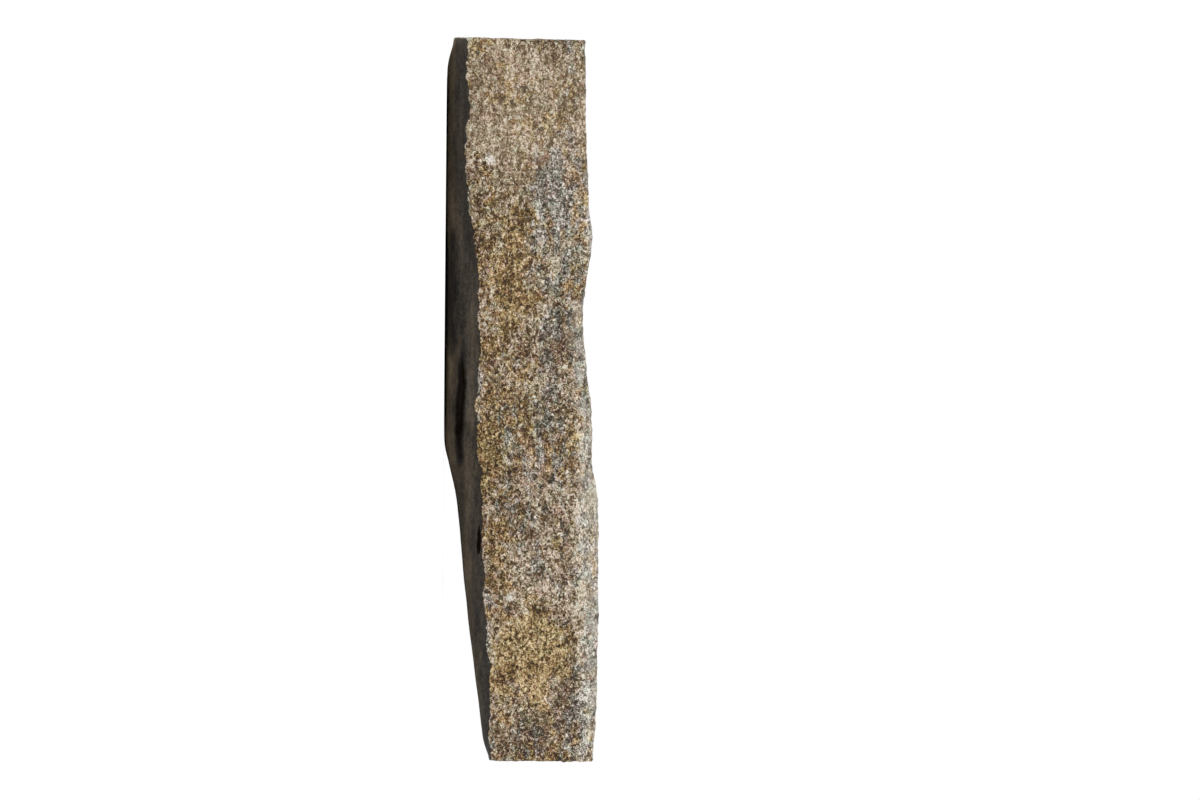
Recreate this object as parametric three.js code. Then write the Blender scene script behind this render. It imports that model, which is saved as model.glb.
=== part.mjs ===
// A stepping stone: one slab of split gneiss, lying flat on its own bed.
// Millimetres, +Z up. The long straight edge faces -Y and runs along X.
// The slab is a gridded block whose points are moved onto the stone's surface:
// first into its plan, then between its bed and its tread, then by a little relief.

import * as THREE from 'three';
import { ImprovedNoise } from 'three/addons/math/ImprovedNoise.js';

// Overall size
const LENGTH = 300;
const WIDTH = 256;
const HALF_LENGTH = LENGTH / 2;
const HALF_WIDTH = WIDTH / 2;

// Plan: the four sides of the block, each a run of straight splits [x, y]
const FRONT_SIDE = [[-150, -125], [-62, -128], [38, -126], [150, -127]];
const BACK_SIDE = [[-124, 56], [-86, 116], [6, 128], [82, 96], [139, -6]];
const LEFT_SIDE = [[-150, -125], [-152.4, -92], [-143, -30], [-124, 56]];
const RIGHT_SIDE = [[150, -127], [152.4, -92], [146, -50], [139, -6]];

// Heights along the front edge [x, z]: the tread's arris, the edge's lower arris and the bed
const TREAD_ARRIS = [
  [-150, 57.5], [-114, 58.2], [-97, 58.6], [-80, 59.6], [-68, 61.1], [-56, 59.5], [-41, 57.5],
  [-33, 57.1], [-16, 58.5], [12, 61.7], [29, 61.8], [34, 64.4], [40, 65.5], [57, 65.6],
  [80, 65.3], [98, 64.8], [129, 64.2], [138, 63.2], [150, 62.5],
];
const LOWER_ARRIS = [
  [-150, 7.4], [-138, 8.7], [-122, 9.4], [-112, 8.1], [-97, 8.2], [-80, 9.5], [-70, 11.8],
  [-62, 12.9], [-45, 14.3], [-12, 14.9], [-4, 13.9], [25, 14.7], [45, 16], [80, 16.8],
  [101, 18.6], [115, 19.9], [124, 20.1], [136, 19.3], [144, 20.2], [150, 20.8],
];
const BED = [
  [-150, 2.3], [-138.5, 0], [18, 0], [33, 4.2], [41, 5.9], [76, 8.9], [93, 10.5], [133, 16],
  [150, 18.5],
];

// Undercut: how high each side's lower arris stands, and how far in the slope reaches
const FRONT_UNDERCUT = 18;
const BACK_UNDERCUT = 34;
const END_UNDERCUT = 7;
const BACK_ARRIS_HEIGHT = 13;
const LEFT_ARRIS_HEIGHT = 2.9;
const RIGHT_ARRIS_HEIGHT = 20.8;
const BED_RISE_TO_BACK = 0.2;

// Worn arrises: how far the top and bottom of the front and back stand back from their faces.
// The front's wear changes along it [x, wear], and the ends are fresh breaks without any.
const FRONT_WEAR = [
  [-150, 1.5], [-44, 1.5], [-33, 4.5], [-6, 4.5], [8, 2.5], [30, 7.5], [118, 7.5], [138, 3.5],
];
const BACK_WEAR = 6;
const LOWER_WEAR = 0.6;
const WEAR_START = 0.4;

// Cleft tread: it leaves the front arris level and steps down by thin sheets of rock
const TREAD_LEVEL = [[-150, 57.3], [-30, 57.9], [40, 62.4], [150, 62.6]];
const LEVEL_REACHED = 70;
const SHEET_THICKNESS = 2.8;
const SHEETS_TO_BACK = 1.7;
const SHEETS_TO_LEFT = 0.6;
const SHEET_WANDER = 0.9;
const SHEET_WAVE = 84;
const SCARP = [0.42, 0.58];

// Relief of the broken faces: depth, wavelength
const RELIEF = [[3.4, 105], [1.7, 44], [0.9, 17]];
const UPRIGHT_SHARE = 0.25;
const BED_GRIP = 7;
const FRONT_CALM = 70;
const CALM_SHARE = 0.15;

// Grid of the block: cells along X, Y and Z, closer together towards the arrises
const CELLS = [60, 27, 9];
const CROWDING = 0.2;

const noise = new ImprovedNoise();
const { lerp, smoothstep } = THREE.MathUtils;

// Straight stretches through [place, value] pairs.
function profile(pairs, place) {
  const last = pairs.length - 1;
  let i = 1;
  while (i < last && place > pairs[i][0]) {
    i += 1;
  }
  const [x0, z0] = pairs[i - 1];
  const [x1, z1] = pairs[i];
  const share = THREE.MathUtils.clamp((place - x0) / (x1 - x0), 0, 1);
  return lerp(z0, z1, share);
}

// A side of the plan as a function of 0..1 along its own length.
function sideCurve(points) {
  const path = new THREE.CurvePath();
  for (let i = 1; i < points.length; i += 1) {
    const from = new THREE.Vector2(...points[i - 1]);
    const to = new THREE.Vector2(...points[i]);
    path.add(new THREE.LineCurve(from, to));
  }
  return (share) => path.getPoint(THREE.MathUtils.clamp(share, 0, 1));
}

const front = sideCurve(FRONT_SIDE);
const back = sideCurve(BACK_SIDE);
const left = sideCurve(LEFT_SIDE);
const right = sideCurve(RIGHT_SIDE);

// Fills the plan between its four sides; u and v run from -1 to 1.
function planPoint(u, v) {
  const s = (u + 1) / 2;
  const t = (v + 1) / 2;
  const blend = (low, high, share) => low.clone().lerp(high, share);
  const alongX = blend(front(s), back(s), t);
  const alongY = blend(left(t), right(t), s);
  const corners = blend(blend(front(0), front(1), s), blend(back(0), back(1), s), t);
  return alongX.add(alongY).sub(corners);
}

// Moves grid lines towards the arrises.
function crowd(t) {
  return t + (CROWDING * Math.sin(Math.PI * t)) / Math.PI;
}

// How far the front or back stands back at height w: -1 is its lower arris, 1 its upper one.
function wear(w, topWear) {
  const top = Math.max(0, (w - WEAR_START) / (1 - WEAR_START)) ** 3;
  const bottom = smoothstep(-w, 0.7, 1) ** 2;
  return topWear * top + LOWER_WEAR * bottom;
}

// Height of the tread: the front arris, then sheets that end in low scarps behind it.
function treadHeight(x, y, fromFront) {
  const wander = SHEET_WANDER * noise.noise(x / SHEET_WAVE, y / SHEET_WAVE, 7.3);
  const sheets = Math.max(
    0,
    (SHEETS_TO_BACK * fromFront) / WIDTH - (SHEETS_TO_LEFT * x) / LENGTH + wander,
  );
  const whole = Math.floor(sheets);
  const dropped = SHEET_THICKNESS * (whole + smoothstep(sheets - whole, ...SCARP));
  const settled = smoothstep(fromFront, 0, LEVEL_REACHED);
  return lerp(profile(TREAD_ARRIS, x), profile(TREAD_LEVEL, x), settled) - dropped * settled;
}

// Height of the underside: a flat bed that rises to the right, undercut all round.
function bedHeight(x, u, v) {
  const fromFront = (1 + v) * HALF_WIDTH;
  const fromBack = (1 - v) * HALF_WIDTH;
  const fromLeft = (1 + u) * HALF_LENGTH;
  const fromRight = (1 - u) * HALF_LENGTH;
  const bed = profile(BED, x) * (1 + (BED_RISE_TO_BACK * fromFront) / WIDTH);
  const slope = (arris, distance, reach) => lerp(arris, bed, Math.min(1, distance / reach));
  return Math.max(
    bed,
    slope(profile(LOWER_ARRIS, x), fromFront, FRONT_UNDERCUT),
    slope(bed + BACK_ARRIS_HEIGHT, fromBack, BACK_UNDERCUT),
    slope(LEFT_ARRIS_HEIGHT, fromLeft, END_UNDERCUT),
    slope(RIGHT_ARRIS_HEIGHT, fromRight, END_UNDERCUT),
  );
}

// Small push of a surface point, the same for every point at one place. It is gentle by the
// straight front edge, and never lifts or sinks the bed.
function relief(point) {
  const push = new THREE.Vector3();
  for (const [depth, wave] of RELIEF) {
    const p = point.clone().divideScalar(wave);
    push.x += depth * noise.noise(p.x + 11, p.y, p.z);
    push.y += depth * noise.noise(p.x, p.y + 23, p.z);
    push.z += depth * noise.noise(p.x, p.y, p.z + 31);
  }
  const calm = smoothstep(point.y, -HALF_WIDTH, FRONT_CALM - HALF_WIDTH);
  push.multiplyScalar(lerp(CALM_SHARE, 1, calm));
  push.z *= UPRIGHT_SHARE * smoothstep(point.z, 0, BED_GRIP);
  return push;
}

// Places one grid point (each coordinate from -1 to 1) on the stone.
function stonePoint(gridX, gridY, gridZ) {
  const w = crowd(gridZ);
  const u = crowd(gridX);
  const sideWear = wear(w, gridY < 0 ? profile(FRONT_WEAR, u * HALF_LENGTH) : BACK_WEAR);
  const v = crowd(gridY) * (1 - sideWear / HALF_WIDTH);
  const plan = planPoint(u, v);
  const low = bedHeight(plan.x, u, v);
  const high = treadHeight(plan.x, plan.y, (1 + v) * HALF_WIDTH);
  const point = new THREE.Vector3(plan.x, plan.y, lerp(low, high, (w + 1) / 2));
  return point.add(relief(point));
}

function stoneGeometry() {
  const geometry = new THREE.BoxGeometry(2, 2, 2, ...CELLS);
  const places = geometry.attributes.position;
  for (let i = 0; i < places.count; i += 1) {
    const point = stonePoint(places.getX(i), places.getY(i), places.getZ(i));
    places.setXYZ(i, point.x, point.y, point.z);
  }
  geometry.computeBoundingBox();
  const { min, max } = geometry.boundingBox;
  geometry.translate(-(min.x + max.x) / 2, -(min.y + max.y) / 2, -min.z);
  geometry.computeVertexNormals();
  return geometry;
}

const gneiss = new THREE.MeshStandardMaterial({ color: 0x8c7c66, roughness: 0.9, metalness: 0 });
const stone = new THREE.Mesh(stoneGeometry(), gneiss);
stone.name = 'stepping_stone';

const group = new THREE.Group();
group.add(stone);

export default group;
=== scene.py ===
# %% [markdown]
# # A stepping stone of split gneiss
# Gneiss is a banded rock: its grains lie flattened in one plane, and a hammer blow splits it along
# that plane into slabs. This stone is one such slab, about 30 cm long and 6 cm thick. It lies on a
# flat bed. Its front edge is a break straight across the bands, and its top is the split itself.
# One solid from the CAD model gives its size and place; here it gets its broken surface and its
# grain.

import math

import bmesh
import bpy
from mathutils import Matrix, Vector


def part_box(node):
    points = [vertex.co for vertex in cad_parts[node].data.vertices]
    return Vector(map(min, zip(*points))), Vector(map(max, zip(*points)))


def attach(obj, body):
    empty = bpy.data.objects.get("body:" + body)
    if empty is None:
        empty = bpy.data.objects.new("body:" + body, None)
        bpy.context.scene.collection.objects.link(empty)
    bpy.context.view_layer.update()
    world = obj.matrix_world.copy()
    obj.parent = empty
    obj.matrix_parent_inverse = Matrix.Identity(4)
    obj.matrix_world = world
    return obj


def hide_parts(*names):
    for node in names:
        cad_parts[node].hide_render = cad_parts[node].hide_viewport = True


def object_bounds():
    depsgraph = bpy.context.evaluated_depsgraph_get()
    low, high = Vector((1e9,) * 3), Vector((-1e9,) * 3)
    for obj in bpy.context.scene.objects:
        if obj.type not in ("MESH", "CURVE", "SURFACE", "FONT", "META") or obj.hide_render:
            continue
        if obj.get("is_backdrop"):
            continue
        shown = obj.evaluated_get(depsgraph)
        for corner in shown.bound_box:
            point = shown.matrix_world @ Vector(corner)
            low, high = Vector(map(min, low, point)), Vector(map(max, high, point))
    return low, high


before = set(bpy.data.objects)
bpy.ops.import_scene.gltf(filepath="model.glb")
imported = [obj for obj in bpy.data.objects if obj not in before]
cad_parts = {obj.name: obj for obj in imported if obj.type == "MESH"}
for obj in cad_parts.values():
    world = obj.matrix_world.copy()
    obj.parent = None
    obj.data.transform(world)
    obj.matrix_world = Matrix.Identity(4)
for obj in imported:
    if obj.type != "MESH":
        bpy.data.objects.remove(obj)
cad_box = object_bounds()
low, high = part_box("stepping_stone")
MM = 0.001
FRONT = low.y / MM
length, depth, height = (high - low) / MM
print(f"the slab is {length:.0f} x {depth:.0f} x {height:.0f} mm, its front at y = {FRONT:.0f} mm")

# %% [markdown]
# ## Camera
# A stone's edge is best seen with the eye level with it. The camera is down at the floor, so the
# undercut below the front edge shows, and far enough away that the edge hardly narrows towards its
# ends. It is rolled a quarter turn and half a degree, which stands the long edge upright in the
# frame, very slightly leaning. It looks a little over the slab, so the slab sits left of the
# middle.

# %% Camera: lens and sensor in millimetres, the rest in metres
EYE_DISTANCE = 2.4
EYE_HEIGHT = 0.0004
AIM_HEIGHT = 0.0647
NEAREST_SEEN = 0.001
LENS = 173.6
SENSOR_WIDTH = 36
ROLL = math.radians(90.5)

scene = bpy.context.scene
camera = bpy.data.objects.new("camera", bpy.data.cameras.new("camera"))
camera.data.lens = LENS
camera.data.sensor_width = SENSOR_WIDTH
camera.data.clip_start = NEAREST_SEEN
camera.location = (0, low.y - EYE_DISTANCE, EYE_HEIGHT)
aim = Vector((0, low.y, AIM_HEIGHT))
camera.rotation_euler = (aim - camera.location).to_track_quat("-Z", "Y").to_euler()
camera.rotation_euler.rotate_axis("Z", ROLL)
scene.collection.objects.link(camera)
scene.camera = camera
print(f"the camera is {EYE_DISTANCE} m in front of the edge")

# %% [markdown]
# ## Two helpers
# Everything procedural here is a tree of nodes, so one function adds a node: it sets the node's
# properties, gives each input a value or a link, and returns an output to link onwards. The other
# turns a hex colour, which is how colours are picked from swatches, into Blender's linear numbers.

# %% Add a node; read a colour
def add(tree, kind, inputs, out=0, **settings):
    """Adds a node. An input's value may be another node's output. Returns the output asked for."""
    node = tree.nodes.new(kind)
    for name, value in settings.items():
        setattr(node, name, value)
    for key, value in inputs.items():
        if isinstance(value, bpy.types.NodeSocket):
            tree.links.new(value, node.inputs[key])
        else:
            node.inputs[key].default_value = value
    return node.outputs[out] if node.outputs else node


def linear(hex_colour):
    """An sRGB hex colour as linear red, green, blue and alpha."""
    parts = [int(hex_colour[i:i + 2], 16) / 255 for i in (0, 2, 4)]
    return (*[c / 12.92 if c <= 0.04045 else ((c + 0.055) / 1.055) ** 2.4 for c in parts], 1)


print("sRGB 808080 is linear", round(linear("808080")[0], 3))

# %% [markdown]
# ## Studio
# The surroundings are close to white, so the outline of the stone reads cleanly. They could be an
# environment image, but one even tone needs no file. What the camera sees of them is white, and
# what lights the stone is a little dimmer, so its dark hollows stay dark.

# %% Pale surroundings
SURROUNDINGS = 0.62

scene.view_settings.view_transform = "Standard"
world = bpy.data.worlds.new("pale_surroundings")
world.use_nodes = True
air = world.node_tree
air.nodes.clear()
seen = add(air, "ShaderNodeLightPath", {}, "Is Camera Ray")
glow = add(air, "ShaderNodeMapRange", {"Value": seen, "To Min": SURROUNDINGS, "To Max": 1.0})
backdrop = add(air, "ShaderNodeBackground", {"Color": (1, 1, 1, 1), "Strength": glow})
add(air, "ShaderNodeOutputWorld", {"Surface": backdrop})
scene.world = world
print(f"the surroundings light the stone at {SURROUNDINGS}")

# %% [markdown]
# The floor is one large flat face in matte white paint: it scatters light evenly, so the eye sees
# no gloss and no edge, only the stone's soft shadow.

# %% Floor
FLOOR_REACH = 12.0

floor_mesh = bpy.data.meshes.new("floor")
corners = [(-1, -1), (1, -1), (1, 1), (-1, 1)]
floor_mesh.from_pydata([(x * FLOOR_REACH, y * FLOOR_REACH, 0) for x, y in corners],
                       [], [(0, 1, 2, 3)])
floor = bpy.data.objects.new("floor", floor_mesh)
scene.collection.objects.link(floor)
floor_paint = bpy.data.materials.new("matte_white_paint")
floor_paint.use_nodes = True
floor_tree = floor_paint.node_tree
floor_tree.nodes.clear()
matte = add(floor_tree, "ShaderNodeBsdfDiffuse", {"Color": linear("F4F4F3")})
add(floor_tree, "ShaderNodeOutputMaterial", {"Surface": matte})
floor_mesh.materials.append(floor_paint)
floor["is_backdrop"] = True
print(f"the floor reaches {FLOOR_REACH} m from the stone")

# %% [markdown]
# The light is plain and soft: one wide overhead light from a little in front. Light from above
# makes the top arris bright and leaves the undercut dark. It is a sun lamp, whose rays are
# parallel, so the floor is as bright far away as close by, and its wide angle softens the shadow.

# %% Overhead light
OVERHEAD = 2.0
OVERHEAD_SPREAD = math.radians(70)
OVERHEAD_FROM = Vector((-0.15, -0.9, 1.5))

overhead = bpy.data.objects.new("overhead_light", bpy.data.lights.new("overhead_light", "SUN"))
overhead.data.energy = OVERHEAD
overhead.data.angle = OVERHEAD_SPREAD
overhead.location = OVERHEAD_FROM
overhead.rotation_euler = (-OVERHEAD_FROM).to_track_quat("-Z", "Y").to_euler()
scene.collection.objects.link(overhead)
print(f"the overhead light spreads over {math.degrees(OVERHEAD_SPREAD):.0f} degrees")

# %% [markdown]
# ## The slab's body
# The CAD mesh is loose triangles on a regular grid. A copy has its doubles merged and its pairs of
# triangles joined to the grid's quads, because subdividing quads rounds a surface evenly, and
# subdividing long triangles doesn't.

# %% Copy the solid and make its grid whole
DOUBLES = 0.01 * MM

body = bmesh.new()
body.from_mesh(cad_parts["stepping_stone"].data)
triangle_count = len(body.faces)
bmesh.ops.remove_doubles(body, verts=body.verts, dist=DOUBLES)
bmesh.ops.join_triangles(
    body, faces=body.faces, angle_face_threshold=math.pi, angle_shape_threshold=math.pi)
body.normal_update()
print(f"{triangle_count} triangles joined to {len(body.faces)} faces")

# %% [markdown]
# The flat bed needs no relief, so it becomes one face. The front edge is a break right across the
# bands and holds the finest relief, so its faces are cut in four. Cutting only there spends the
# triangles where the eye looks for the grain.

# %% Join the bed, cut the front finer, and keep the result
FRONT_FACING = -0.7
FLAT_BED = 0.02 * MM

bed_faces = [face for face in body.faces if all(v.co.z < FLAT_BED for v in face.verts)]
bmesh.ops.dissolve_faces(body, faces=bed_faces, use_verts=True)
front_faces = [face for face in body.faces if face.normal.y < FRONT_FACING]
front_edges = list({edge for face in front_faces for edge in face.edges})
bmesh.ops.subdivide_edges(body, edges=front_edges, cuts=1, use_grid_fill=True)
slab_mesh = bpy.data.meshes.new("gneiss_slab")
body.to_mesh(slab_mesh)
body.free()
slab_mesh.materials.clear()
slab = bpy.data.objects.new("gneiss_slab", slab_mesh)
scene.collection.objects.link(slab)
print(f"{len(bed_faces)} bed faces joined and {len(front_faces)} front faces cut")

# %% [markdown]
# ## The broken surface
# A broken gneiss surface has five kinds of relief, and each follows a rule all over the stone, so
# a Geometry Nodes tree pushes the surface along its normal by the sum of them:
#
# - **facets**: a blow leaves small flats at slightly different tilts, a Voronoi cell each;
# - **ledges**: the ends of the bands, a noise stretched along X and Y;
# - **sheets**: the top splits in sheets of a millimetre or two, whose ends are low ragged scarps;
# - **bites**: the lower arris has lost small chips, so it wanders up and down;
# - **grain**: single crystals stand a few tenths of a millimetre proud or have plucked out.
#
# Sculpting would give the look once. A tree has named sizes, which can be held against a ruler.
# The bed stays flat, because it is what the stone rests on.

# %% Start the tree: its sizes are in millimetres
SIZES = {
    "Facet size": 17.0, "Facet depth": 0.8,
    "Ledge height": 3.2, "Ledge depth": 0.5,
    "Sheet spread": 70.0, "Sheet thickness": 1.7,
    "Bite size": 6.5, "Bite depth": 1.7,
    "Lump size": 30.0, "Lump depth": 0.8,
    "Grain size": 1.8, "Grain depth": 0.38,
    "Scar depth": 0.7, "Arris crease": 0.95, "Seed": 4.0,
}
relief = bpy.data.node_groups.new("broken_gneiss", "GeometryNodeTree")
relief.is_modifier = True
relief.interface.new_socket("Geometry", in_out="INPUT", socket_type="NodeSocketGeometry")
relief.interface.new_socket("Geometry", in_out="OUTPUT", socket_type="NodeSocketGeometry")
size_sockets = {
    name: relief.interface.new_socket(name, in_out="INPUT", socket_type="NodeSocketFloat")
    for name in SIZES}
stone_socket = relief.interface.new_socket(
    "Stone", in_out="INPUT", socket_type="NodeSocketMaterial")
given = add(relief, "NodeGroupInput", {}).node.outputs
print(f"the tree has {len(SIZES)} named inputs for its sizes, crease and seed")

# %% [markdown]
# Subdividing rounds every edge. The arrises of a split stone stay crisp, so an edge keeps a crease
# in step with how sharply it turns.

# %% Round the grid, but not its arrises
ROUNDED_TURN = math.radians(25)
CRISP_TURN = math.radians(55)
ROUNDINGS = 2

turn = add(relief, "GeometryNodeInputMeshEdgeAngle", {}, "Unsigned Angle")
crease = add(relief, "ShaderNodeMapRange", {
    "Value": turn, "From Min": ROUNDED_TURN, "From Max": CRISP_TURN,
    "To Max": given["Arris crease"]}, interpolation_type="SMOOTHSTEP")
rounded = add(relief, "GeometryNodeSubdivisionSurface", {
    "Mesh": given["Geometry"], "Level": ROUNDINGS, "Edge Crease": crease})
print(f"each face is cut in four {ROUNDINGS} times")

# %% [markdown]
# Which relief a place gets depends on how it faces: the broken sides are steep, the tread faces
# up, the underside down. Painted masks would have to be redone for every change of shape. Here the
# normal and the place give the masks, each fading in between two values.

# %% Where a point is, in millimetres, and how it faces
position = add(relief, "GeometryNodeInputPosition", {})
place = add(relief, "ShaderNodeVectorMath", {0: position, "Scale": 1 / MM}, operation="SCALE")
place_of = add(relief, "ShaderNodeSeparateXYZ", {0: place}).node.outputs
normal = add(relief, "GeometryNodeInputNormal", {})
facing = add(relief, "ShaderNodeSeparateXYZ", {0: normal}).node.outputs
up = facing["Z"]
steep = add(relief, "ShaderNodeMath", {0: up}, operation="ABSOLUTE")
endways = add(relief, "ShaderNodeMath", {0: facing["X"]}, operation="ABSOLUTE")
print(f"the tree has {len(relief.nodes)} nodes so far")

# %% Kinds of surface: what tells them, where each starts, and where it is full
REGIONS = {
    "side": (steep, 0.75, 0.35), "not an end": (endways, 0.97, 0.8),
    "tread": (up, 0.55, 0.85), "underside": (up, -0.3, -0.7), "worn": (up, 0.12, 0.6),
    "off bed": (place_of["Z"], 0.25, 3.5), "behind front": (place_of["Y"], FRONT + 5, FRONT + 32),
    "below arris": (up, 0.05, -0.4), "above underside": (up, -0.7, -0.3),
}
END_RELIEF = 0.2

region = {
    name: add(relief, "ShaderNodeMapRange", {"Value": value, "From Min": none, "From Max": full},
              interpolation_type="SMOOTHSTEP")
    for name, (value, none, full) in REGIONS.items()}
at_arris = add(relief, "ShaderNodeMath", {
    0: region["below arris"], 1: region["above underside"]}, operation="MULTIPLY")
end_share = add(relief, "ShaderNodeMapRange", {
    "Value": region["not an end"], "To Min": END_RELIEF})
broken_side = add(relief, "ShaderNodeMath", {
    0: region["side"], 1: end_share}, operation="MULTIPLY")
print(f"{len(region)} kinds of surface")

# %% [markdown]
# Most of the relief is noise: it has no pattern, as a break hasn't. Squeezing its space along X
# and Y stretches its waves along the bands.

# %% Noises from about -1 to 1: stretch, wave, detail and roughness
NOISES = {
    "ledges": ((0.07, 0.07, 1.0), "Ledge height", 2.0, 0.6),
    "sheets": ((1.0, 1.0, 0.2), "Sheet spread", 5.0, 0.5),
    "bites": ((1.0, 1.0, 0.3), "Bite size", 4.0, 0.65),
    "lumps": ((1.0, 1.0, 1.0), "Lump size", 2.0, 0.5),
    "grains": ((0.75, 0.75, 1.0), "Grain size", 1.0, 0.6),
    "pits": ((0.6, 0.6, 1.0), "Facet size", 5.0, 0.65),
}
SEED_STEP = 5.0

noise = {}
for shift, (name, (squeeze, wave, detail, roughness)) in enumerate(NOISES.items()):
    squeezed = add(relief, "ShaderNodeVectorMath", {0: place, 1: squeeze}, operation="MULTIPLY")
    frequency = add(relief, "ShaderNodeMath", {0: 1.0, 1: given[wave]}, operation="DIVIDE")
    seed = add(relief, "ShaderNodeMath", {
        0: given["Seed"], 1: SEED_STEP * shift}, operation="ADD")
    noise[name] = add(relief, "ShaderNodeTexNoise", {
        "Vector": squeezed, "W": seed, "Scale": frequency, "Detail": detail,
        "Roughness": roughness}, noise_dimensions="4D", normalize=False)
print(f"{len(noise)} noises")

# %% [markdown]
# A Voronoi cell gives each of its points the cell's centre and a random colour. The colour, taken
# as a direction, tilts a plane through the centre: that is one facet. Smoothed cells join their
# planes in short slopes, as real flats do. The planes stand off their cells' middles by about a
# quarter of a cell, so a gain of four brings the depth to the one asked for.

# %% Facets
FACET_GAIN = 4.0
HALF = (0.5, 0.5, 0.5)

frequency = add(relief, "ShaderNodeMath", {0: 1.0, 1: given["Facet size"]}, operation="DIVIDE")
centre = add(relief, "ShaderNodeTexVoronoi", {
    "Vector": place, "W": given["Seed"], "Scale": frequency, "Smoothness": 0.2},
    "Position", voronoi_dimensions="4D", feature="SMOOTH_F1")
from_centre = add(relief, "ShaderNodeVectorMath", {0: place, 1: centre}, operation="SUBTRACT")
tilt = add(relief, "ShaderNodeVectorMath", {
    0: centre.node.outputs["Color"], 1: HALF}, operation="SUBTRACT")
off_plane = add(relief, "ShaderNodeVectorMath", {
    0: from_centre, 1: tilt}, "Value", operation="DOT_PRODUCT")
cell_share = add(relief, "ShaderNodeMath", {0: off_plane, 1: frequency}, operation="MULTIPLY")
deep = add(relief, "ShaderNodeMath", {
    0: given["Facet depth"], 1: FACET_GAIN}, operation="MULTIPLY")
facets = add(relief, "ShaderNodeMath", {0: cell_share, 1: deep}, operation="MULTIPLY")
print(f"facets are about {SIZES['Facet size']:.0f} mm across")

# %% [markdown]
# Sheets are a staircase: whole steps of a slow noise, each a sheet thick, with a short riser. They
# only go down from the level of the front arris, and start a little behind it.

# %% Sheets of the tread
SHEETS_PER_WAVE = 6.0
SHEETS_GONE = 1.7
RISER_START = 0.44
RISER_END = 0.56

level = add(relief, "ShaderNodeMath", {
    0: noise["sheets"], 1: SHEETS_PER_WAVE, 2: -SHEETS_GONE}, operation="MULTIPLY_ADD")
whole = add(relief, "ShaderNodeMath", {0: level}, operation="FLOOR")
rest = add(relief, "ShaderNodeMath", {0: level}, operation="FRACT")
riser = add(relief, "ShaderNodeMapRange", {
    "Value": rest, "From Min": RISER_START, "From Max": RISER_END},
    interpolation_type="SMOOTHSTEP")
steps = add(relief, "ShaderNodeMath", {0: whole, 1: riser}, operation="ADD")
sunk = add(relief, "ShaderNodeMath", {0: steps, 1: 0.0}, operation="MINIMUM")
sheet_rise = add(relief, "ShaderNodeMath", {
    0: sunk, 1: given["Sheet thickness"]}, operation="MULTIPLY")
sheets = add(relief, "ShaderNodeMath", {
    0: sheet_rise, 1: region["behind front"]}, operation="MULTIPLY")
print(f"a sheet is {SIZES['Sheet thickness']} mm thick")

# %% [markdown]
# The scarp where a sheet ends is a fresh, ragged break. Its place is kept as a mask, so that the
# material can leave it without the pale coat that the weather gives the sheets. The mask also
# darkens the scarp a little: partly fresh rock, and partly painted shade on the riser.

# %% Scarps of the sheets
SCARP_EDGE = 0.14
SCARP_HEART = 0.04

off_riser = add(relief, "ShaderNodeMath", {0: rest, 1: 0.5}, operation="SUBTRACT")
near_riser = add(relief, "ShaderNodeMath", {0: off_riser}, operation="ABSOLUTE")
on_riser = add(relief, "ShaderNodeMapRange", {
    "Value": near_riser, "From Min": SCARP_EDGE, "From Max": SCARP_HEART},
    interpolation_type="SMOOTHSTEP")
has_sunk = add(relief, "ShaderNodeMath", {0: level, 1: 0.0}, operation="LESS_THAN")
scarp = add(relief, "ShaderNodeMath", {0: on_riser, 1: has_sunk}, operation="MULTIPLY")
scarps = add(relief, "ShaderNodeMath", {
    0: scarp, 1: region["behind front"]}, operation="MULTIPLY")
print("scarps are marked where a sheet ends")

# %% [markdown]
# ## Two more helpers: places with frayed borders
# The flake's scar, and later the bands and patches of colour, are ellipsoids whose borders are
# frayed. One function makes the fraying, a noise that bends the space, and the other tells how far
# inside an ellipsoid a point is. Both work in the tree of the shape and in the tree of the colour,
# so the scar and its colour have the same border.

# %% Fray a border; tell whether a point is inside
FRAY_SIZE = 18.0
FRAY_REACH = 0.5


def fraying(tree, spot):
    """A noise by which a border wanders, as a share of the ellipsoid's reach."""
    waves = add(tree, "ShaderNodeTexNoise", {
        "Vector": spot, "Scale": 1 / FRAY_SIZE, "Detail": 4.0, "Roughness": 0.6}, "Color",
        normalize=False)
    return add(tree, "ShaderNodeVectorMath", {0: waves, "Scale": FRAY_REACH}, operation="SCALE")


def inside(tree, spot, bend, middle, reach, fade):
    """1 inside an ellipsoid and 0 outside. Middle and reach are in mm, the fade in reaches."""
    off_middle = add(tree, "ShaderNodeVectorMath", {0: spot, 1: middle}, operation="SUBTRACT")
    in_reaches = add(tree, "ShaderNodeVectorMath", {0: off_middle, 1: reach}, operation="DIVIDE")
    bent = add(tree, "ShaderNodeVectorMath", {0: in_reaches, 1: bend}, operation="ADD")
    away = add(tree, "ShaderNodeVectorMath", {0: bent}, "Value", operation="LENGTH")
    none, full = fade
    return add(tree, "ShaderNodeMapRange", {
        "Value": away, "From Min": none, "From Max": full}, interpolation_type="SMOOTHSTEP")


print(f"borders wander by up to {FRAY_REACH} of a reach")

# %% [markdown]
# One large flake has come off the front near its right end. Its scar is a shallow hollow with a
# crisp, scalloped rim. The rim is two distances from the middle, counted in reaches: where the
# hollow starts, and where it has its full depth.

# %% The flake's scar
SCAR_MIDDLE = (106.0, FRONT, 35.0)
SCAR_REACH = (22.0, 60.0, 16.0)
CRISP = (1.06, 0.94)

in_scar = inside(relief, place, fraying(relief, place), SCAR_MIDDLE, SCAR_REACH, CRISP)
scar = add(relief, "ShaderNodeMath", {0: in_scar, 1: -1.0}, operation="MULTIPLY")
print(f"the scar is {2 * SCAR_REACH[0]:.0f} mm long and {SIZES['Scar depth']} mm deep")

# %% [markdown]
# The material needs to know the same kinds of surface. They are stored on the mesh before the
# relief ruffles their borders.

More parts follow.
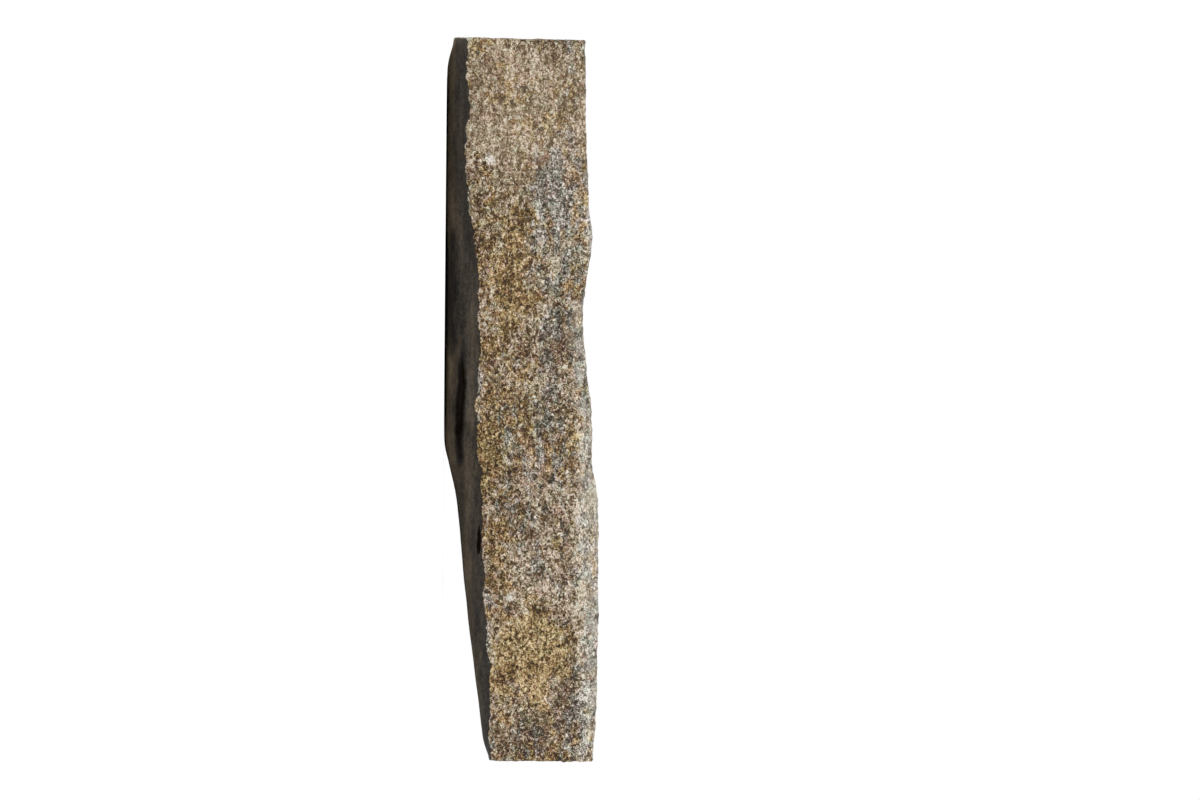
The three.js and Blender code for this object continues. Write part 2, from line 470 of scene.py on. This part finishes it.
# %% Mark the kinds of surface for the material
MARKS = {
    "underside": region["underside"], "worn": region["worn"], "arris": at_arris,
    "sheet": sunk, "scarp": scarps,
}
marked = rounded
for name, where in MARKS.items():
    marked = add(relief, "GeometryNodeStoreNamedAttribute", {
        "Geometry": marked, "Name": name, "Value": where}, data_type="FLOAT", domain="POINT")
print("marks for the material:", ", ".join(MARKS))

# %% [markdown]
# Each kind of surface has its own mix of the reliefs. A running sum of products adds them up.

# %% Broad relief: what it is, its size in millimetres, and where it counts
RELIEFS = [
    (facets, 1.0, broken_side),
    (noise["ledges"], given["Ledge depth"], broken_side),
    (noise["lumps"], given["Lump depth"], broken_side),
    (sheets, 1.0, region["tread"]),
    (facets, 0.25, region["tread"]),
    (noise["pits"], 0.9, region["tread"]),
    (noise["lumps"], 0.4, region["underside"]),
    (scar, given["Scar depth"], broken_side),
]
broad = 0.0
for amount, size, where in RELIEFS:
    sized = add(relief, "ShaderNodeMath", {0: amount, 1: size}, operation="MULTIPLY")
    broad = add(relief, "ShaderNodeMath", {
        0: sized, 1: where, 2: broad}, operation="MULTIPLY_ADD")
print(f"{len(RELIEFS)} reliefs add up")

# %% [markdown]
# The soil that fills the underside leaves little of its grain. The bites move the lower arris
# straight up or down, and fade out over the few grid points beside it.

# %% Grain, and bites out of the lower arris
GRAIN_BELOW = 0.15
BITE_SPREAD = 5
BITE_FULL = 0.4

smooth_below = add(relief, "ShaderNodeMapRange", {
    "Value": region["underside"], "To Min": 1.0, "To Max": GRAIN_BELOW})
grain_depth = add(relief, "ShaderNodeMath", {
    0: given["Grain depth"], 1: smooth_below}, operation="MULTIPLY")
fine = add(relief, "ShaderNodeMath", {0: noise["grains"], 1: grain_depth}, operation="MULTIPLY")
near_arris = add(relief, "GeometryNodeBlurAttribute", {
    "Value": at_arris, "Iterations": BITE_SPREAD})
bite_reach = add(relief, "ShaderNodeMapRange", {"Value": near_arris, "From Max": BITE_FULL})
bite = add(relief, "ShaderNodeMath", {
    0: noise["bites"], 1: given["Bite depth"]}, operation="MULTIPLY")
chip = add(relief, "ShaderNodeMath", {0: bite, 1: bite_reach}, operation="MULTIPLY")
raised = add(relief, "ShaderNodeMath", {0: chip, 1: MM}, operation="MULTIPLY")
upward = add(relief, "ShaderNodeCombineXYZ", {"Z": raised})
print(f"grain is {SIZES['Grain depth']} mm deep, bites {SIZES['Bite depth']} mm")

# %% [markdown]
# The broad relief is pushed in first and the grain after it, so the grain follows the facets'
# own normals. Realize Instances and Set Material end the tree.

# %% Push the surface, and end the tree
broken = add(relief, "GeometryNodeSetPosition", {"Geometry": marked, "Offset": upward})
for push in (broad, fine):
    free = add(relief, "ShaderNodeMath", {0: push, 1: region["off bed"]}, operation="MULTIPLY")
    metres = add(relief, "ShaderNodeMath", {0: free, 1: MM}, operation="MULTIPLY")
    offset = add(relief, "ShaderNodeVectorMath", {0: normal, "Scale": metres}, operation="SCALE")
    broken = add(relief, "GeometryNodeSetPosition", {"Geometry": broken, "Offset": offset})
soft = add(relief, "GeometryNodeSetShadeSmooth", {"Geometry": broken})
one = add(relief, "GeometryNodeRealizeInstances", {"Geometry": soft})
coated = add(relief, "GeometryNodeSetMaterial", {"Geometry": one, "Material": given["Stone"]})
add(relief, "NodeGroupOutput", {"Geometry": coated})
print(f"the tree has {len(relief.nodes)} nodes")

# %% [markdown]
# ## The stone's colour
# Split gneiss, hammer-broken and weathered. What catches the eye is its minerals: quartz and
# feldspar in cream and grey, dark mica, and iron that has rusted to ochre around them. An image of
# such a stone would fix one view of it; a mosaic of Voronoi cells goes all round it and right up
# to the eye. The grains come in three sizes, 1.3, 0.74 and 0.4 mm, a little flattened along the
# bands. Each draws a tone, from dark mica to quartz, and draws whether it is tan, rusty or grey.
# Broad zones on the stone only shift those draws, so one zone runs into the next grain by grain.

# %% Start the material; where a point is, in millimetres, and its marks
gneiss = bpy.data.materials.new("split_gneiss")
gneiss.use_nodes = True
paint = gneiss.node_tree
paint.nodes.clear()
metres = add(paint, "ShaderNodeTexCoord", {}, "Object")
spot = add(paint, "ShaderNodeMapping", {"Vector": metres, "Scale": (1 / MM,) * 3})
mark = {
    name: add(paint, "ShaderNodeAttribute", {}, "Fac", attribute_name=name) for name in MARKS}
print(f"{gneiss.name} reads {len(mark)} marks")

# %% Spaces: as it is, a little flattened along the bands, drawn out along them, and streaked
SQUEEZES = {
    "even": (1.0, 1.0, 1.0), "banded": (0.9, 0.9, 1.0), "drawn out": (0.5, 0.5, 1.0),
    "streaked": (0.14, 0.14, 1.0),
}
space = {
    name: add(paint, "ShaderNodeMapping", {"Vector": spot, "Scale": squeeze})
    for name, squeeze in SQUEEZES.items()}
print(f"{len(space)} spaces for patterns")

# %% [markdown]
# Plain Voronoi cells have straight borders, like crazy paving. Grains that grew against each other
# have curled ones, so a fine noise bends the space before the cells are drawn.

# %% Grains of three sizes, with curled borders
GRAINS = {"crystal": 1.3, "grain": 0.74, "grit": 0.4}
CURL_SIZE = 1.1
CURL_REACH = 0.7

curl = add(paint, "ShaderNodeTexNoise", {
    "Vector": space["banded"], "Scale": 1 / CURL_SIZE, "Detail": 1.0, "Roughness": 0.5}, "Color",
    normalize=False)
curled = add(paint, "ShaderNodeVectorMath", {
    0: curl, 1: (CURL_REACH,) * 3, 2: space["banded"]}, operation="MULTIPLY_ADD")
draws = {}
for name, size in GRAINS.items():
    cell = add(paint, "ShaderNodeTexVoronoi", {"Vector": curled, "Scale": 1 / size}, "Color")
    draws[name] = add(paint, "ShaderNodeSeparateColor", {0: cell}).node.outputs
print("grains:", ", ".join(f"{name} {size} mm" for name, size in GRAINS.items()))

# %% [markdown]
# Minerals aren't spread evenly: rust follows water, greys follow the bands, and soil lies in
# streaks. Each is a noise of its own size, in the space that fits it. A fourth coordinate, W, sets
# each noise apart, so that no two have the same pattern.

# %% Noises of the colour: space, size in millimetres and detail
CLOUDS = {
    "speckle": ("banded", 2.4, 2.0), "clots": ("streaked", 1.6, 3.0),
    "mottle": ("drawn out", 5.5, 3.0), "rust": ("banded", 3.0, 3.0),
    "rust patches": ("banded", 11.0, 2.0), "broad rust": ("banded", 40.0, 3.0),
    "greys": ("drawn out", 3.2, 3.0), "broad grey": ("streaked", 14.0, 3.0),
    "soil": ("streaked", 5.0, 4.0), "coat": ("even", 7.0, 5.0), "seams": ("even", 1.5, 1.0),
    "blush": ("banded", 4.0, 3.0), "broad blush": ("banded", 28.0, 2.0),
    "grit relief": ("even", 0.7, 2.0),
}
CLOUD_STEP = 7.0

cloud = {
    name: add(paint, "ShaderNodeTexNoise", {
        "Vector": space[kind], "W": CLOUD_STEP * shift, "Scale": 1 / size, "Detail": detail,
        "Roughness": 0.6}, noise_dimensions="4D", normalize=False)
    for shift, (name, (kind, size, detail)) in enumerate(CLOUDS.items())}
print(f"{len(cloud)} noises of the colour")

# %% [markdown]
# ## Zones
# The bands and patches that the eye remembers are ellipsoids set where the stone has them. Each
# shifts three things: how light its grains are, how many are rusty, and how many are grey. Most
# borders are soft: they start well outside the reach and are full well inside it. The left end is
# pale and tan. To the right of it the foot is rusty, and a grey band runs above the foot.

# %% Zones of the left end: middle and reach in millimetres, its border; tone, rust and grey
SOFT = (1.3, 0.6)
ZONES = {
    "pale tan end": ((-122, FRONT, 34), (32, 60, 40), SOFT, (0.04, -0.17, -0.12)),
    "pale spot in the tan end": ((-105, FRONT, 35), (8, 60, 6), SOFT, (0.16, -0.1, 0.1)),
    "tan foot of the end": ((-122, FRONT, 12), (32, 60, 5), SOFT, (-0.05, 0.06, -0.25)),
    "dull foot of the tan end": ((-112, FRONT, 15), (14, 60, 8), SOFT, (-0.08, 0.0, 0.0)),
    "brown arris": ((-104, FRONT, 57.5), (11, 20, 2.5), SOFT, (-0.15, 0.6, -0.3)),
    "dull foot of the left": ((-72, FRONT, 15), (15, 60, 5), SOFT, (-0.15, 0.0, 0.0)),
    "pale arris of the left": ((-74, FRONT, 59), (14, 20, 3), SOFT, (0.15, -0.05, 0.05)),
    "rusty foot": ((-64, FRONT, 24), (36, 60, 12), SOFT, (-0.04, 0.3, -0.2)),
    "rust spot in the foot": ((-49, FRONT, 29), (7, 20, 3), SOFT, (-0.03, 0.4, -0.2)),
    "pale spot in the foot": ((-50, FRONT, 21.5), (11, 60, 4), SOFT, (0.17, 0.0, 0.0)),
    "grey band": ((-62, FRONT, 45), (52, 60, 11), SOFT, (-0.05, -0.15, 0.22)),
    "grey streak": ((-90, FRONT, 46.5), (20, 60, 3), SOFT, (-0.02, -0.3, 0.3)),
}
print(f"{len(ZONES)} zones in the left end")

# %% [markdown]
# The middle is darker and browner, with a bevelled, paler arris above it. From the step in the
# arris onwards the top of the edge is pale: partly worn, and partly a painted highlight where the
# bevel turns up to the light.

# %% Zones of the middle
ZONES.update({
    "brown middle": ((0, FRONT, 25), (52, 60, 13), SOFT, (-0.06, 0.2, -0.06)),
    "grey middle": ((10, FRONT, 47), (30, 60, 8), SOFT, (-0.08, -0.05, 0.18)),
    "dull band in the middle": ((-26, FRONT, 47), (16, 60, 7), SOFT, (-0.22, -0.05, 0.05)),
    "rusty foot of the middle": ((24, FRONT, 18), (17, 60, 6), SOFT, (0.0, 0.42, -0.3)),
    "tan foot at the rise": ((52, FRONT, 17.5), (24, 60, 4), SOFT, (-0.06, 0.15, -0.25)),
    "pale bevel of the middle": ((-12, FRONT, 57.5), (24, 30, 3.5), SOFT, (0.05, -0.2, 0.3)),
    "pale patch at the step": ((23, FRONT, 59), (7, 20, 3), SOFT, (0.25, -0.2, 0.1)),
    "rust spot at the step": ((16, FRONT, 53), (6, 20, 3), SOFT, (0.14, 0.4, -0.2)),
    "dark seam": ((45, FRONT, 30), (2.6, 20, 10), SOFT, (-0.13, -0.1, 0.1)),
    "second dark seam": ((55.5, FRONT, 34), (2.6, 20, 8), SOFT, (-0.18, -0.1, 0.1)),
    "pale seam": ((65, FRONT, 28), (2.2, 20, 13), SOFT, (0.12, 0.0, 0.0)),
    "mixed band": ((73, FRONT, 43), (9, 60, 12), SOFT, (0.06, -0.15, 0.2)),
    "rusty foot of the right": ((67, FRONT, 24), (15, 60, 7), SOFT, (-0.08, 0.3, -0.2)),
    # The pale arris is partly wear and partly a painted highlight on the upturned bevel.
    "pale arris": ((76, FRONT, 61), (50, 30, 7), SOFT, (0.29, -0.2, 0.12)),
    "dull band under the pale arris": ((80, FRONT, 52.5), (36, 60, 3.5), SOFT, (-0.17, 0.0, 0.05)),
})
print(f"{len(ZONES)} zones with the middle")

# %% [markdown]
# The right end holds the scar of the flake. Its fresh face has rusted to ochre, and three zones
# share its crisp right rim. Past it the end is brown.

# %% Zones of the right end
ZONES.update({
    "flake scar": (SCAR_MIDDLE, SCAR_REACH, CRISP, (0.04, 0.12, -0.1)),
    "ochre scar": ((109, FRONT, 34), (19, 60, 15.5), CRISP, (0.06, 0.16, -0.1)),
    "deep ochre scar": ((113, FRONT, 34), (15, 60, 15), CRISP, (0.06, 0.18, -0.1)),
    "ochre in the scar": ((111, FRONT, 36), (18, 60, 13), SOFT, (-0.04, 0.24, -0.25)),
    "ochre before the scar": ((87, FRONT, 36), (14, 60, 13), SOFT, (0.04, 0.34, -0.25)),
    "ochre beside the scar": ((124, FRONT, 27), (12, 60, 7), CRISP, (0.04, 0.3, -0.25)),
    "grey foot of the scar": ((105, FRONT, 22), (13, 60, 5), SOFT, (0.0, -0.35, 0.12)),
    "grey clot in the scar": ((115.5, FRONT, 27), (5, 60, 5), SOFT, (-0.24, -0.5, 0.25)),
    "pale rim of the scar": ((120, FRONT, 43), (7, 60, 6), SOFT, (0.17, 0.15, -0.1)),
    "dull rim by the scar": ((132, FRONT, 39), (7, 60, 7), SOFT, (-0.16, -0.25, 0.1)),
    "dull corner by the scar": ((130, FRONT, 55.5), (20, 60, 7.5), SOFT, (-0.2, -0.12, 0.1)),
    "brown end": ((142, FRONT, 28), (15, 60, 19), SOFT, (-0.15, -0.42, 0.16)),
    "rust spot by the end": ((138, FRONT, 58), (5, 20, 4), SOFT, (-0.1, 0.3, -0.2)),
    "pale patch by the end": ((144, FRONT, 58.5), (9, 20, 4), SOFT, (0.22, -0.35, 0.1)),
})
print(f"{len(ZONES)} zones with the right end")

# %% [markdown]
# Two rounded lumps of quartz sit in the face, nearly white. Below the lower arris the zones
# darken or lighten the soil. Three are painted shade: a dark hollow by the bed, a black streak,
# and a short black slit under the arris, which stands for the shadow in a crack that the mesh
# doesn't have.

# %% Quartz pebbles, painted shade in the soil, and a paler patch of soil
ZONES.update({
    "quartz pebble": ((-99.0, FRONT, 18.3), (2.4, 8, 2.2), SOFT, (0.8, -0.5, 0.8)),
    "small quartz pebble": ((82.0, FRONT, 27.5), (1.7, 8, 1.6), SOFT, (0.7, -0.5, 0.8)),
    "painted shade by the bed": ((-44, FRONT + 17, 2), (24, 12, 4), SOFT, (-0.7, 0.0, 0.0)),
    "painted shade streak": ((3.5, FRONT + 8.5, 7), (27, 9, 1.9), SOFT, (-1.3, 0.0, 0.0)),
    "painted shade of a slit": ((59.5, FRONT + 3, 14.9), (7, 6, 0.8), CRISP, (-1.3, 0.0, 0.0)),
    "dry soil over the streak": ((-8, FRONT + 3.5, 11), (46, 6, 3.2), SOFT, (0.26, 0.0, 0.0)),
})
print(f"{len(ZONES)} zones with the pebbles and the soil")

# %% [markdown]
# Black mica gathers in clots a few millimetres across. They are all alike but for place and size,
# so a list of x, z and size is enough.

# %% Mica clots
MICA_CLOTS = [(-54, 41, 2.2), (-61, 36.5, 1.7), (33.5, 44, 2.2), (107.5, 53, 2.2), (87.5, 27, 2),
              (86, 20.5, 1.8), (86, 41.5, 2.2), (-18, 52, 1.8), (71, 41, 2.4)]
CLOT_DEPTH = 8
CLOT_SHIFTS = (-0.35, -0.3, 0.15)

for x, z, size in MICA_CLOTS:
    ZONES[f"mica clot at {x}, {z}"] = ((x, FRONT, z), (size, CLOT_DEPTH, size), SOFT, CLOT_SHIFTS)
print(f"{len(ZONES)} zones with {len(MICA_CLOTS)} mica clots")

# %% [markdown]
# All zones share one fraying, so where two of them meet, their borders wander together. Each
# zone's three shifts are scaled by how far inside it a point is, and then summed.

# %% Add up what the zones shift
bend = fraying(paint, spot)
shifts = (0.0, 0.0, 0.0)
within = {}
for name, (middle, reach, fade, amounts) in ZONES.items():
    within[name] = inside(paint, spot, bend, middle, reach, fade)
    shift = add(paint, "ShaderNodeVectorMath", {
        0: amounts, "Scale": within[name]}, operation="SCALE")
    shifts = add(paint, "ShaderNodeVectorMath", {0: shift, 1: shifts}, operation="ADD")
print(f"the material has {len(paint.nodes)} nodes so far")

# %% [markdown]
# On the tread each sheet that has split away shows another band, so its kind of grain changes at
# the scarp: every sheet level draws its own three shifts.

# %% Bands that the sheets expose
SHEET_SHIFTS = (0.25, 0.6, 0.6)

whole_level = add(paint, "ShaderNodeMath", {0: mark["sheet"]}, operation="ROUND")
band = add(paint, "ShaderNodeTexWhiteNoise", {"W": whole_level}, "Color", noise_dimensions="1D")
band_draw = add(paint, "ShaderNodeVectorMath", {0: band, 1: HALF}, operation="SUBTRACT")
band_size = add(paint, "ShaderNodeVectorMath", {
    0: SHEET_SHIFTS, "Scale": mark["worn"]}, operation="SCALE")
band_shift = add(paint, "ShaderNodeVectorMath", {0: band_draw, 1: band_size}, operation="MULTIPLY")
all_shifts = add(paint, "ShaderNodeVectorMath", {0: shifts, 1: band_shift}, operation="ADD")
shift_of = add(paint, "ShaderNodeSeparateXYZ", {0: all_shifts}).node.outputs
print(f"a sheet's tone shifts by up to {SHEET_SHIFTS[0] / 2:.2f} either way")

# %% [markdown]
# ## From draws to minerals
# A few of the finest grains are flakes of black mica. A few of the crystals are gone and have left
# a rusty socket. Both are picked by their cell's random draw, which keeps them whole cells.

# %% Flakes and sockets: where the draw starts to pick a cell, and where it has picked it
FLAKES = (0.92, 0.96)
SOCKETS = (0.82, 0.92)

flake = add(paint, "ShaderNodeMapRange", {
    "Value": draws["grit"]["Green"], "From Min": FLAKES[0], "From Max": FLAKES[1]})
socket = add(paint, "ShaderNodeMapRange", {
    "Value": draws["crystal"]["Blue"], "From Min": SOCKETS[0], "From Max": SOCKETS[1]})
off_seam = add(paint, "ShaderNodeMath", {0: cloud["seams"]}, operation="ABSOLUTE")
print(f"about {1 - sum(FLAKES) / 2:.0%} flakes and {1 - sum(SOCKETS) / 2:.0%} sockets")

# %% [markdown]
# A grain's tone, rust, grey and blush are four plain sums: a start, and then each draw, noise, mark
# and zone times its weight. The weights can be read like a recipe and changed one at a time.

# %% Each grain's sums: a start, and what is added with its weight
SUMS = {
    "tone": (-0.55, [
        (draws["crystal"]["Red"], 0.16), (draws["grain"]["Red"], 0.74),
        (draws["grit"]["Red"], 0.92), (off_seam, 0.3), (cloud["speckle"], 0.22),
        (cloud["clots"], 0.15), (cloud["mottle"], 0.25), (flake, -0.5), (socket, -0.35),
        # The lower arris is lighter: partly bruised rock, partly a painted highlight. The scarps
        # are darker: partly fresh rock, partly painted shade.
        (mark["arris"], 0.1), (mark["scarp"], -0.12), (shift_of["X"], 1.0)]),
    "rust": (0.04, [
        (draws["grain"]["Green"], 0.1), (socket, 0.3), (cloud["rust"], 0.65),
        (cloud["rust patches"], 0.5), (cloud["broad rust"], 0.65), (shift_of["Y"], 1.0)]),
    "grey": (0.075, [
        (draws["grain"]["Blue"], 0.15), (cloud["greys"], 0.52), (cloud["broad grey"], 0.4),
        (shift_of["Z"], 1.0)]),
    "blush": (-3.0, [
        (draws["crystal"]["Green"], 2.4), (draws["grit"]["Blue"], 3.6), (cloud["blush"], 2.1),
        (cloud["broad blush"], 0.9)]),
}
total = {}
for name, (running, terms) in SUMS.items():
    for value, weight in terms:
        running = add(paint, "ShaderNodeMath", {
            0: value, 1: weight, 2: running}, operation="MULTIPLY_ADD")
    total[name] = running
print("sums:", ", ".join(f"{name} of {len(terms)}" for name, (_, terms) in SUMS.items()))

# %% [markdown]
# Each kind of grain has its own ramp from dark mica to quartz. The tone picks the colour from the
# ramp, and the rust and grey sums pick the ramp.

# %% Mineral colours, from dark mica to quartz, in three kinds
MINERALS = {
    "tan": ["38230C", "654A29", "8A7455", "A69478", "C0B29D", "E8DDCC"],
    "rust": ["2C1903", "50330E", "78582C", "997C48", "BCA26F", "E2D0AC"],
    "grey": ["2C2217", "534837", "756E60", "979184", "B9B3A7", "E8E3DA"],
}
PLACES = [0.0, 0.18, 0.36, 0.54, 0.74, 1.0]

mineral = {}
for name, colours in MINERALS.items():
    mineral[name] = add(paint, "ShaderNodeValToRGB", {"Fac": total["tone"]})
    ramp = mineral[name].node.color_ramp
    while len(ramp.elements) < len(colours):
        ramp.elements.new(1.0)
    for element, at, colour in zip(ramp.elements, PLACES, colours):
        element.position = at
        element.color = linear(colour)
print("kinds of grain:", ", ".join(mineral))

# %% Tan, rusty or grey: where each sum starts to show, and where it is full
RUSTY = (0.12, 0.46)
GREYED = (0.2, 0.52)

rusty = add(paint, "ShaderNodeMapRange", {
    "Value": total["rust"], "From Min": RUSTY[0], "From Max": RUSTY[1]},
    interpolation_type="SMOOTHSTEP")
greyed = add(paint, "ShaderNodeMapRange", {
    "Value": total["grey"], "From Min": GREYED[0], "From Max": GREYED[1]},
    interpolation_type="SMOOTHSTEP")
warm = add(paint, "ShaderNodeMix", {
    0: rusty, 6: mineral["tan"], 7: mineral["rust"]}, 2, data_type="RGBA")
plain_grain = add(paint, "ShaderNodeMix", {
    0: greyed, 6: warm, 7: mineral["grey"]}, 2, data_type="RGBA")
print(f"rust is full at {RUSTY[1]}, grey at {GREYED[1]}")

# %% [markdown]
# Some grains are a little pink, as potash feldspar is, and some a little olive. The eye hardly
# sees it in one grain, but without it the stone looks tinted with one brown. Dark grains take more
# of it, because a tint multiplies and would be lost on them.

# %% A faint blush
PINK = (0.03, -0.03, 0.0)
DARK_TONE = 0.1
LIGHT_TONE = 0.85
BLUSH_OF_DARK = 1.7
BLUSH_OF_LIGHT = 0.45

faintness = add(paint, "ShaderNodeMapRange", {
    "Value": total["tone"], "From Min": DARK_TONE, "From Max": LIGHT_TONE,
    "To Min": BLUSH_OF_DARK, "To Max": BLUSH_OF_LIGHT})
blush = add(paint, "ShaderNodeMath", {0: total["blush"], 1: faintness}, operation="MULTIPLY")
tint = add(paint, "ShaderNodeVectorMath", {
    0: blush, 1: PINK, 2: (1.0, 1.0, 1.0)}, operation="MULTIPLY_ADD")
fresh = add(paint, "ShaderNodeVectorMath", {0: plain_grain, 1: tint}, operation="MULTIPLY")
print(f"the blush tints red and green by {PINK[0]:.0%} for each unit of its sum")

# %% [markdown]
# The pale tan end has a film of rock dust from the split. It is one colour laid thinly over all
# grains, which takes a little off their contrast.

# %% Rock dust on the pale tan end
DUST = "B09A7B"
DUST_COVER = 0.14

dust = add(paint, "ShaderNodeMapRange", {"Value": within["pale tan end"], "To Max": DUST_COVER})
dusty = add(paint, "ShaderNodeMix", {0: dust, 6: fresh, 7: linear(DUST)}, 2, data_type="RGBA")
print(f"the dust covers {DUST_COVER:.0%}")

# %% [markdown]
# ## Soil and painted shade below, weather above
# The underside lay in soil: a dark, dull film hides the grain, in soft streaks. The film is also
# painted shade: every face that looks down takes it, and its dark colour stands for the shade of
# the undercut as well as for soil. It is blacker under the lower arris and in the zones of painted
# shade. Further in and by the bed it is painted paler, as painted light that offsets the floor's
# shadow there. The film is a mix of a dark and a pale colour, by a sum like those of the grains,
# squared so that most of it stays dark.

# %% How pale the soil film is: soil, painted shade and painted light
SOIL_START = 0.12
PAINTED_PALER_FROM = FRONT + 3
PAINTED_PALEST_FROM = FRONT + 18
PAINTED_PALE_BED_TOP = 4.0

spot_of = add(paint, "ShaderNodeSeparateXYZ", {0: spot}).node.outputs
far_in = add(paint, "ShaderNodeMapRange", {
    "Value": spot_of["Y"], "From Min": PAINTED_PALER_FROM, "From Max": PAINTED_PALEST_FROM})
low_down = add(paint, "ShaderNodeMapRange", {
    "Value": spot_of["Z"], "From Min": PAINTED_PALE_BED_TOP, "From Max": 0.0})
# far_in and low_down are painted light: the film is paler further in and by the bed, where the
# floor shades it. The arris term is painted shade under the lower arris, and the zones' tone brings
# in the painted shade of the hollow, the streak and the slit.
SOIL_AND_PAINTED_LIGHT_TONES = [(far_in, 0.45), (low_down, 0.42), (cloud["soil"], 0.24), (cloud["clots"], 0.14),
              (cloud["speckle"], 0.06), (mark["arris"], -0.34), (shift_of["X"], 0.6)]
soil_and_painted_light_tone = SOIL_START
for value, weight in SOIL_AND_PAINTED_LIGHT_TONES:
    soil_and_painted_light_tone = add(paint, "ShaderNodeMath", {
        0: value, 1: weight, 2: soil_and_painted_light_tone}, operation="MULTIPLY_ADD")
dry = add(paint, "ShaderNodeMath", {0: soil_and_painted_light_tone, 1: 0.0}, operation="MAXIMUM")
soil_mix = add(paint, "ShaderNodeMath", {0: dry, 1: dry}, operation="MULTIPLY")
print(f"the soil's tone adds up {len(SOIL_AND_PAINTED_LIGHT_TONES)} things")

# %% Soil film: soil and painted shade
DARK_SOIL_AND_SHADE = "140F0B"
PALE_SOIL = "A38F73"
SOIL_COVER = 0.94
SOIL_EDGE = (0.05, 0.35)

below = add(paint, "ShaderNodeMapRange", {
    "Value": mark["underside"], "From Min": SOIL_EDGE[0], "From Max": SOIL_EDGE[1],
    "To Max": SOIL_COVER}, interpolation_type="SMOOTHSTEP")
soil = add(paint, "ShaderNodeMix", {
    0: soil_mix, 6: linear(DARK_SOIL_AND_SHADE), 7: linear(PALE_SOIL)}, 2, data_type="RGBA")
soiled_and_shaded = add(paint, "ShaderNodeMix", {0: below, 6: dusty, 7: soil}, 2, data_type="RGBA")
print(f"the soil film covers {SOIL_COVER:.0%}")

# %% [markdown]
# Upward faces are worn and rained on, which leaves a thin pale grey coat in patches. It is thinner
# by the front arris, where feet and rain rub it off, and almost gone from the fresh scarps.

# %% Weathered coat
COAT = "B3AEA2"
COAT_NOISE = (-0.3, 0.25)
COAT_COVER = (0.1, 0.62)
COAT_ON_SCARP = 0.25
COAT_IN_FRONT = 0.5
RUBBED_FROM = FRONT + 3
RUBBED_TO = FRONT + 30

patchy = add(paint, "ShaderNodeMapRange", {
    "Value": cloud["coat"], "From Min": COAT_NOISE[0], "From Max": COAT_NOISE[1],
    "To Min": COAT_COVER[0], "To Max": COAT_COVER[1]})
bare = add(paint, "ShaderNodeMapRange", {
    "Value": mark["scarp"], "To Min": 1.0, "To Max": COAT_ON_SCARP})
thin_in_front = add(paint, "ShaderNodeMapRange", {
    "Value": spot_of["Y"], "From Min": RUBBED_FROM, "From Max": RUBBED_TO,
    "To Min": COAT_IN_FRONT, "To Max": 1.0})
unbroken = add(paint, "ShaderNodeMath", {0: patchy, 1: bare}, operation="MULTIPLY")
kept = add(paint, "ShaderNodeMath", {0: unbroken, 1: thin_in_front}, operation="MULTIPLY")
above = add(paint, "ShaderNodeMath", {0: mark["worn"], 1: kept}, operation="MULTIPLY")
weathered = add(paint, "ShaderNodeMix", {
    0: above, 6: soiled_and_shaded, 7: linear(COAT)}, 2, data_type="RGBA")
print(f"the coat covers up to {COAT_COVER[1]:.0%}")

# %% [markdown]
# ## The surface of the grains
# The mesh holds relief down to about a millimetre. Finer grit is a bump: it only bends the light,
# and costs no triangles. A broken grain is dull, and a flake of mica glints, so roughness falls on
# the flakes. The sheen falls with the soil's tone, so the painted shade of the slit and the streak
# throws nothing back.

# %% Bump, glints and sheen
GRAIN_PROUD = 0.6
BUMP_DEPTH = 0.25 * MM
BUMP_STRENGTH = 0.8
DULL = 0.88
GLINT = 0.45
SHEENLESS_SOIL = -0.55
PLAIN_SOIL = -0.1
FULL_SHEEN = 0.5

proud = add(paint, "ShaderNodeMath", {
    0: draws["grain"]["Green"], 1: GRAIN_PROUD, 2: cloud["grit relief"]}, operation="MULTIPLY_ADD")
bump = add(paint, "ShaderNodeBump", {
    "Strength": BUMP_STRENGTH, "Distance": BUMP_DEPTH, "Height": proud})
mica = add(paint, "ShaderNodeMapRange", {"Value": flake, "To Min": DULL, "To Max": GLINT})
sheen = add(paint, "ShaderNodeMapRange", {
    "Value": soil_and_painted_light_tone, "From Min": SHEENLESS_SOIL, "From Max": PLAIN_SOIL,
    "To Max": FULL_SHEEN})
print(f"roughness from {GLINT} to {DULL}")

# %% The shader, with the refractive index of quartz and feldspar
QUARTZ_IOR = 1.54

shader = add(paint, "ShaderNodeBsdfPrincipled", {
    "Base Color": weathered, "Roughness": mica, "IOR": QUARTZ_IOR, "Specular IOR Level": sheen,
    "Normal": bump})
add(paint, "ShaderNodeOutputMaterial", {"Surface": shader})
print(f"{gneiss.name} has {len(paint.nodes)} nodes")

# %% [markdown]
# ## Make it a plain mesh
# The modifier's inputs are set by their identifiers before it first runs. Its result is then kept
# as an ordinary mesh.

# %% Run the tree and keep its result
modifier = slab.modifiers.new("broken_gneiss", "NODES")
modifier.node_group = relief
for name, size_socket in size_sockets.items():
    modifier[size_socket.identifier] = SIZES[name]
modifier[stone_socket.identifier] = gneiss
evaluated = slab.evaluated_get(bpy.context.evaluated_depsgraph_get())
finished = bpy.data.meshes.new_from_object(evaluated)
slab.modifiers.clear()
slab.data = finished
triangles = sum(len(face.vertices) - 2 for face in finished.polygons)
print(f"the stone has {triangles} triangles")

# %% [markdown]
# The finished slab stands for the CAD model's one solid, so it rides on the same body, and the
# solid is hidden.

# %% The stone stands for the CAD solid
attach(slab, "root")
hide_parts("stepping_stone")
print(f"{slab.name} stands for stepping_stone")

# %% [markdown]
# Relief can push the stone a little past the solid, so both boxes are printed side by side.
# Relief must not make the stone larger than the solid by more than a little.

# %% Print its box beside the CAD model's, and finish
boxes = {"cad": cad_box, "visual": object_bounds()}
plain = {name: [list(corner) for corner in box] for name, box in boxes.items()}
for name, box in plain.items():
    print(name, [[round(c / MM, 1) for c in corner] for corner in box])
